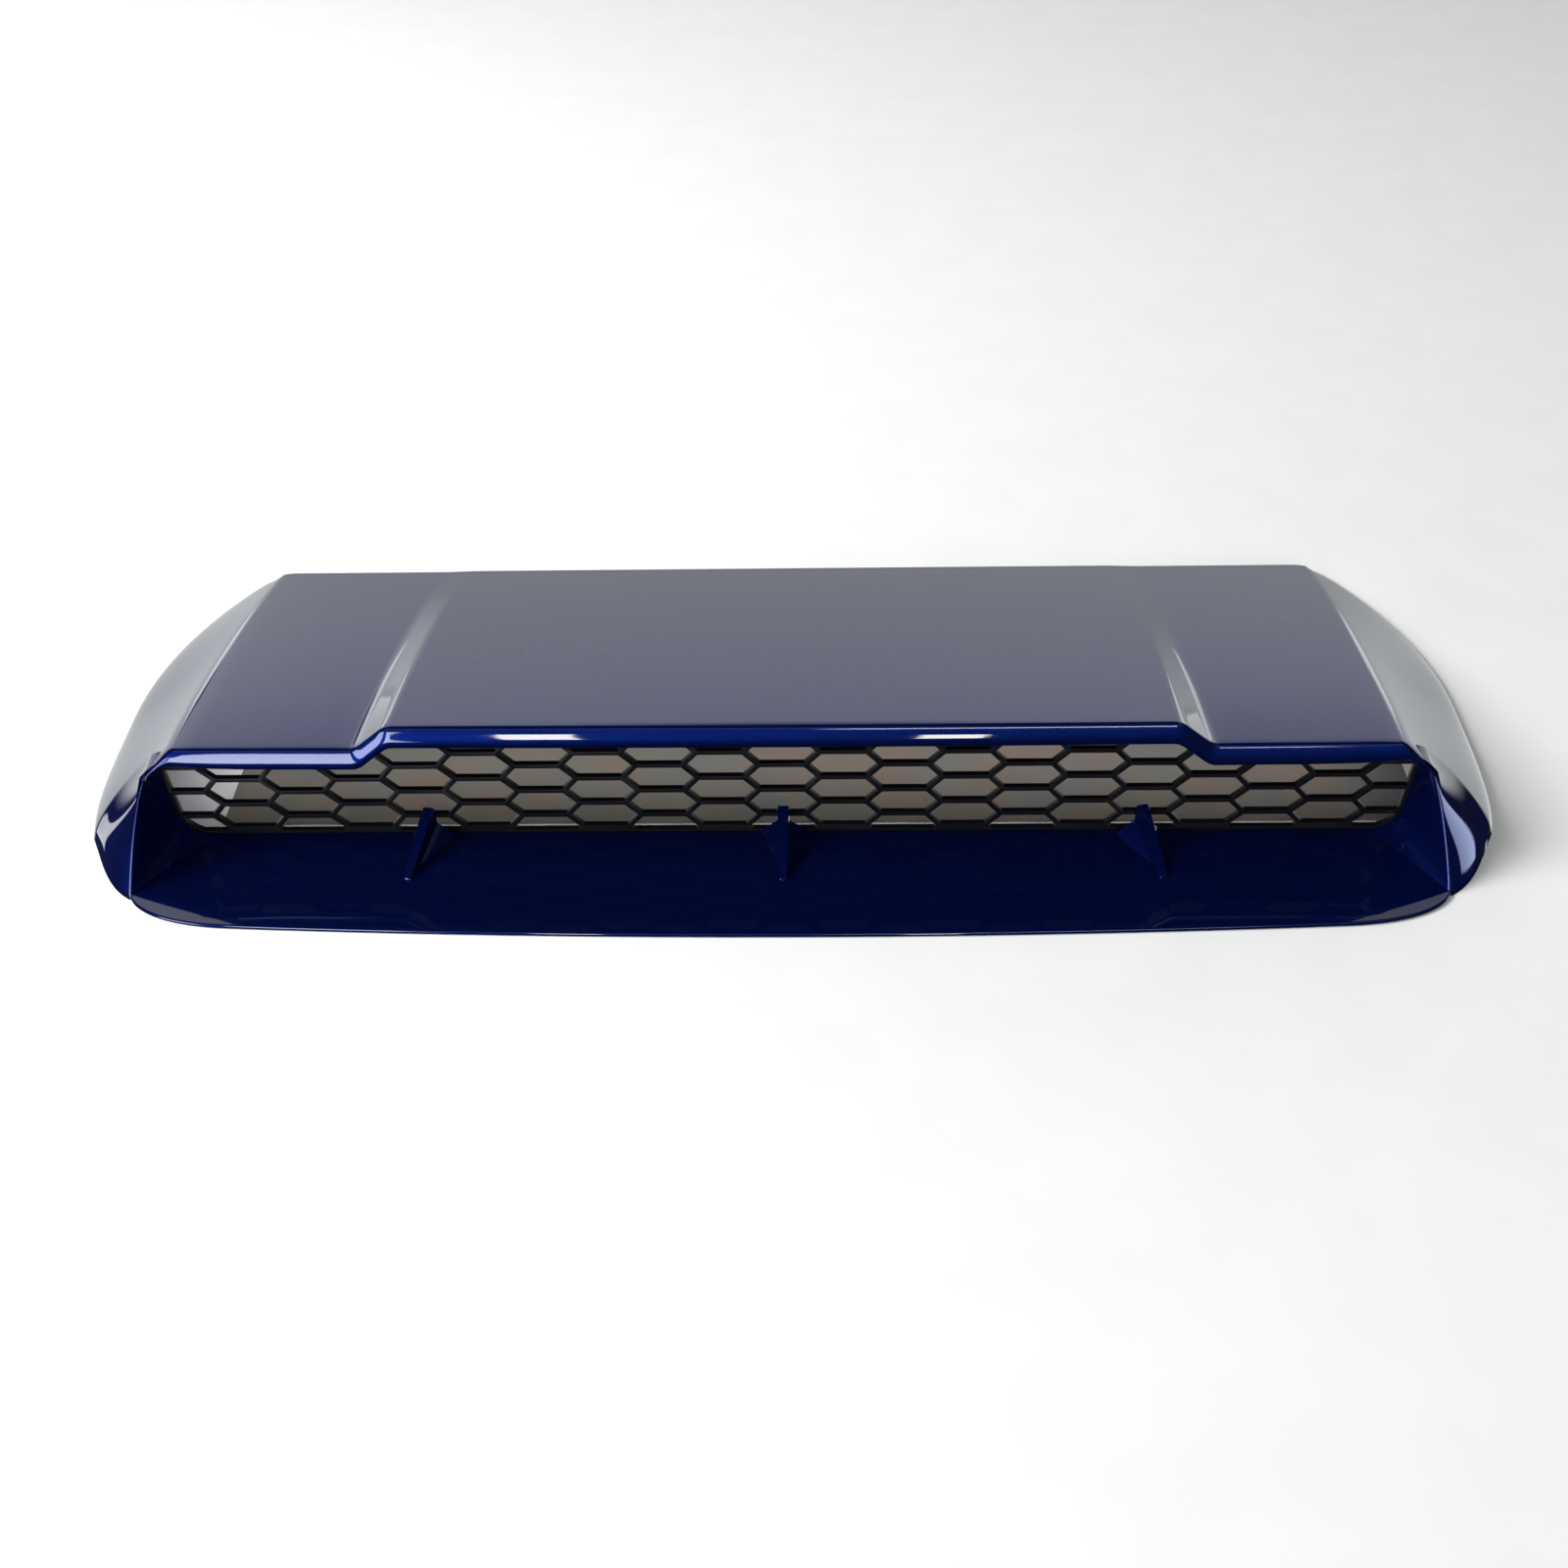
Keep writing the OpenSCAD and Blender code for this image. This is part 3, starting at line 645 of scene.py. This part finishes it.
zinc, tree, shader, on_object = new_material("zinc_plated_steel", {"Metallic": 1.0})
mottle_look = {"Scale": 1 / (mottle_size * mm), "Detail": 3.0}
mottle = add_node(tree, "ShaderNodeTexNoise", {}, mottle_look, on_object)
tone = add_node(tree, "ShaderNodeValToRGB", links={"Fac": mottle.outputs["Fac"]})
tone.color_ramp.elements[0].color = linear("#8F959B")
tone.color_ramp.elements[1].color = linear("#C4C8CB")
tree.links.new(tone.outputs["Color"], shader.inputs["Base Color"])
worn = add_node(
    tree,
    "ShaderNodeMapRange",
    inputs={"To Min": 0.25, "To Max": 0.45},
    links={"Value": mottle.outputs["Fac"]},
)
tree.links.new(worn.outputs["Result"], shader.inputs["Roughness"])
dress("grille_screws", zinc)

# Mounting inserts: four turned brass sleeves, set into the posts while hot. Turning leaves rings
# 0.4 mm apart that dull the sheen. A wave texture repeats about every 0.314 units at scale 1.
ring_gap, wave_period = 0.4, 0.314
brass, tree, shader, on_object = new_material("turned_brass", {"Metallic": 1.0})
rings = add_node(
    tree,
    "ShaderNodeTexWave",
    {"wave_type": "BANDS", "bands_direction": "Z"},
    {"Scale": wave_period / (ring_gap * mm), "Distortion": 0.6},
    on_object,
)
tone = add_node(tree, "ShaderNodeValToRGB", links={"Fac": rings.outputs["Fac"]})
tone.color_ramp.elements[0].color = linear("#A67F38")
tone.color_ramp.elements[1].color = linear("#D0AC5C")
tree.links.new(tone.outputs["Color"], shader.inputs["Base Color"])
worn = add_node(
    tree,
    "ShaderNodeMapRange",
    inputs={"To Min": 0.22, "To Max": 0.4},
    links={"Value": rings.outputs["Fac"]},
)
tree.links.new(worn.outputs["Result"], shader.inputs["Roughness"])
dress("mounting_inserts", brass)

# Rim seal: a strip of black closed-cell foam stuck inside the rim. Its cells are 0.7 mm across
# and scatter light, which leaves it dull.
cell_size = 0.7
foam, tree, shader, on_object = new_material("closed_cell_foam", {"Roughness": 0.9})
cells = add_node(tree, "ShaderNodeTexVoronoi", {}, {"Scale": 1 / (cell_size * mm)}, on_object)
tone = add_node(tree, "ShaderNodeValToRGB", links={"Fac": cells.outputs["Distance"]})
tone.color_ramp.elements[0].color = linear("#141416")
tone.color_ramp.elements[1].color = linear("#2C2C2F")
tree.links.new(tone.outputs["Color"], shader.inputs["Base Color"])
bump = add_node(
    tree,
    "ShaderNodeBump",
    inputs={"Strength": 0.6, "Distance": 0.0004},
    links={"Height": cells.outputs["Distance"]},
)
tree.links.new(bump.outputs["Normal"], shader.inputs["Normal"])
dress("rim_seal", foam)

# Stage: a plain pale floor, and under the scoop a darker grey-brown sheet, painted shade, that shows
# only through
#  the grille. The paint mirrors neither, so that the soft walls of the studio shape its reflections.
# Sizes from here on are in metres.


def lay_sheet(name, half_size, place, hex_colours):
    """Lays a flat sheet whose two shades run into each other in clouds 50 mm across."""
    mesh = bmesh.new()
    bmesh.ops.create_grid(mesh, x_segments=1, y_segments=1, size=1)
    spread = Matrix.Translation(place) @ Matrix.Diagonal((*half_size, 1, 1))
    bmesh.ops.transform(mesh, matrix=spread, verts=mesh.verts)
    material, tree, shader, on_object = new_material(
        name, {"Roughness": 0.9, "Specular IOR Level": 0.0}
    )
    cloud = add_node(tree, "ShaderNodeTexNoise", {}, {"Scale": 1 / 0.05, "Detail": 1.0}, on_object)
    tone = add_node(tree, "ShaderNodeValToRGB", links={"Fac": cloud.outputs["Fac"]})
    for stop, position, colour in zip(tone.color_ramp.elements, (0.35, 0.65), hex_colours):
        stop.position = position
        stop.color = linear(colour)
    tree.links.new(tone.outputs["Color"], shader.inputs["Base Color"])
    made = new_object(name, mesh, material)
    made.visible_glossy = False


lay_sheet("pale_floor", (6, 6), (0, 0, 0), ("#F3F3F2", "#F5F5F4"))
# The second sheet is painted shade. It is darker than the floor and lies under the scoop, where it
# shows through the grille.
lay_sheet("painted_shade_sheet", (0.375, 0.1), (0.02, 0.02, 0.0006), ("#7A7C77", "#877A70"))

# Light: soft walls behind and at the rear sides, a soft ceiling over the front, a few lit windows
# and a dark card, before a pale backdrop. A large lamp at the left casts the soft shadow, a wide one
# fills it, and a small one under the roof lights what shows through the grille.
wall_tint = (0.96, 1.0, 0.98)
backdrop_colour = (0.92, 0.92, 0.92, 1)
world = bpy.data.worlds.new("soft_studio")
bpy.context.scene.world = world
world.use_nodes = True
tree = world.node_tree
way = add_node(tree, "ShaderNodeTexCoord").outputs["Generated"]
parts = add_node(tree, "ShaderNodeSeparateXYZ", links={"Vector": way})
way_x, way_y, way_z = (parts.outputs[axis] for axis in ("X", "Y", "Z"))


def faded(value, steps):
    """The product of smooth steps, each (socket, start, end, low, high), and a value if given."""
    for socket, start, end, low, high in steps:
        step = add_node(
            tree,
            "ShaderNodeMapRange",
            {"interpolation_type": "SMOOTHSTEP"},
            {"From Min": start, "From Max": end, "To Min": low, "To Max": high},
            {"Value": socket},
        ).outputs["Result"]
        if value is not None:
            pair = {0: value, 1: step}
            product = add_node(tree, "ShaderNodeMath", {"operation": "MULTIPLY"}, {}, pair)
            step = product.outputs["Value"]
        value = step
    return value


# The walls and the ceiling are centred a little to the right of the scoop.
off_centre = add_node(
    tree, "ShaderNodeMath", {"operation": "SUBTRACT"}, {1: 0.04}, {0: way_x}
).outputs["Value"]
aside = add_node(
    tree, "ShaderNodeMath", {"operation": "MULTIPLY"}, {}, {0: off_centre, 1: off_centre}
).outputs["Value"]
brighter_up = faded(None, [(way_z, -0.3, 0.35, 0.58, 1.36)])
brighter_aside = faded(None, [(aside, 0.1, 0.3, 0.0, 0.6)])
walls = add_node(
    tree, "ShaderNodeMath", {"operation": "ADD"}, {}, {0: brighter_up, 1: brighter_aside}
).outputs["Value"]
walls = faded(walls, [(way_y, 0.46, 0.57, 0.02, 1.0), (way_z, 0.22, 0.75, 1.0, 0.03)])
ceiling = faded(
    None,
    [
        (way_y, 0.3, 0.0, 0.0, 1.0),
        (way_z, 0.35, 0.6, 0.0, 0.5),
        (aside, 0.36, 0.46, 1.0, 0.0),
        (way_z, 0.68, 0.78, 1.0, 0.0),
    ],
)
room = add_node(
    tree, "ShaderNodeMath", {"operation": "ADD"}, {}, {0: walls, 1: ceiling}
).outputs["Value"]
glow = add_node(
    tree, "ShaderNodeVectorMath", {"operation": "SCALE"}, {0: wall_tint}, {"Scale": room}
).outputs["Vector"]


def add_window(light, towards, width, height, strength, colour=(1, 1, 1), tilt=0):
    """Adds a soft-edged far rectangle to the light. Width, height and tilt are in degrees."""
    ahead = Vector(towards).normalized()
    level = ahead.cross(Vector((0, 0, 1))).normalized()
    right = Matrix.Rotation(math.radians(tilt), 3, ahead) @ level
    squares = []
    for axis, angle in ((right, width), (right.cross(ahead), height)):
        dot = add_node(
            tree,
            "ShaderNodeVectorMath",
            {"operation": "DOT_PRODUCT"},
            {1: axis / math.sin(math.radians(angle / 2))},
            {0: way},
        ).outputs["Value"]
        square = add_node(tree, "ShaderNodeMath", {"operation": "MULTIPLY"}, {}, {0: dot, 1: dot})
        squares.append(square.outputs["Value"])
    farther = add_node(
        tree, "ShaderNodeMath", {"operation": "MAXIMUM"}, {}, {0: squares[0], 1: squares[1]}
    ).outputs["Value"]
    facing = add_node(
        tree, "ShaderNodeVectorMath", {"operation": "DOT_PRODUCT"}, {1: ahead}, {0: way}
    ).outputs["Value"]
    spot = faded(None, [(farther, 0.75, 1.15, strength, 0.0), (facing, 0.0, 0.1, 0.0, 1.0)])
    tinted = add_node(
        tree, "ShaderNodeVectorMath", {"operation": "SCALE"}, {0: colour}, {"Scale": spot}
    ).outputs["Vector"]
    return add_node(
        tree, "ShaderNodeVectorMath", {"operation": "ADD"}, {}, {0: light, 1: tinted}
    ).outputs["Vector"]


# Five windows ahead of the mouth, one at the right, five at the rear, and a dark card there.
cool, bluish, warm, sky = (0.88, 0.94, 1.1), (0.85, 0.94, 1.15), (1.0, 0.96, 0.85), (0.7, 0.85, 1.25)
glow = add_window(glow, (-0.379, -0.915, -0.139), 8.5, 38, 11.0, cool)
glow = add_window(glow, (-0.712, -0.688, -0.139), 20, 40, 9.0, bluish)
glow = add_window(glow, (-0.195, -0.975, -0.105), 3, 20, 22.0, warm)
glow = add_window(glow, (0.085, -0.974, -0.208), 2.6, 16, 22.0, warm)
glow = add_window(glow, (0.164, -0.931, 0.326), 19, 6, 12.0)
glow = add_window(glow, (0.975, 0.115, -0.18), 25, 10, 3.2, sky, -29)
glow = add_window(glow, (-0.467, 0.547, 0.695), 16, 14, 1.5)
glow = add_window(glow, (0.433, 0.574, 0.695), 17, 14, 1.0)
glow = add_window(glow, (-0.87, 0.39, -0.31), 2.8, 10, 2.4)
glow = add_window(glow, (-0.54, 0.84, -0.05), 10, 12, 1.2)
glow = add_window(glow, (0.54, 0.84, -0.05), 10, 12, 1.2)
glow = add_window(glow, (-0.504, 0.855, 0.122), 7, 9, -1.3)

# A colour Mix has its factor at input 0, its colours at 6 and 7 and its colour result at output 2.
view = add_node(tree, "ShaderNodeLightPath")
backdrop = add_node(
    tree,
    "ShaderNodeMix",
    {"data_type": "RGBA"},
    {7: backdrop_colour},
    {0: view.outputs["Is Camera Ray"], 6: glow},
)
tree.links.new(backdrop.outputs[2], tree.nodes["Background"].inputs["Color"])


def add_light(name, size, energy, place, aim=(0, 0, 0)):
    """Hangs a rectangular lamp that lights the scoop but shows nowhere itself."""
    lamp = bpy.data.lights.new(name, "AREA")
    lamp.shape = "RECTANGLE"
    lamp.size, lamp.size_y = size
    lamp.energy = energy
    made = bpy.data.objects.new(name, lamp)
    made.location = place
    made.rotation_euler = (Vector(aim) - Vector(place)).to_track_quat("-Z", "Y").to_euler()
    made.visible_glossy = made.visible_camera = False
    bpy.context.scene.collection.objects.link(made)


add_light("key_left", (1.2, 1.2), 110, (-2.2, -0.2, 1.9))
add_light("fill_above", (4.0, 4.0), 18, (0.3, -0.6, 3.4))
add_light("lamp_under_the_roof", (0.77, 0.06), 0.2, (0, -0.02, 0.05), (0, -0.015, 0))
bpy.context.scene.view_settings.view_transform = "Standard"

# Camera: it stands where the photo was taken, found by fitting the scoop's outline in perspective.
# The photo is 1600 px wide, and its optical centre lies 1.4 px off the middle.
photo_width, centre_offset = 1600, -1.4
eye_place = (0.0283, -0.75679, 0.71135)
yaw, down, roll = math.radians(-2.28), math.radians(45), math.radians(-1.89)
camera = bpy.data.cameras.new("camera")
camera.sensor_width = 36
camera.lens = 36
camera.shift_x = centre_offset / photo_width
ahead_x, ahead_y = math.sin(yaw) * math.cos(down), math.cos(yaw) * math.cos(down)
ahead = Vector((ahead_x, ahead_y, -math.sin(down)))
across = Vector((math.cos(yaw), -math.sin(yaw), 0))
upward = across.cross(ahead)
camera_x = across * math.cos(roll) + upward * math.sin(roll)
camera_y = upward * math.cos(roll) - across * math.sin(roll)
aim = Matrix((camera_x, camera_y, -ahead)).transposed().to_4x4()
eye = bpy.data.objects.new("camera", camera)
eye.matrix_world = Matrix.Translation(eye_place) @ aim
bpy.context.scene.collection.objects.link(eye)
bpy.context.scene.camera = eye
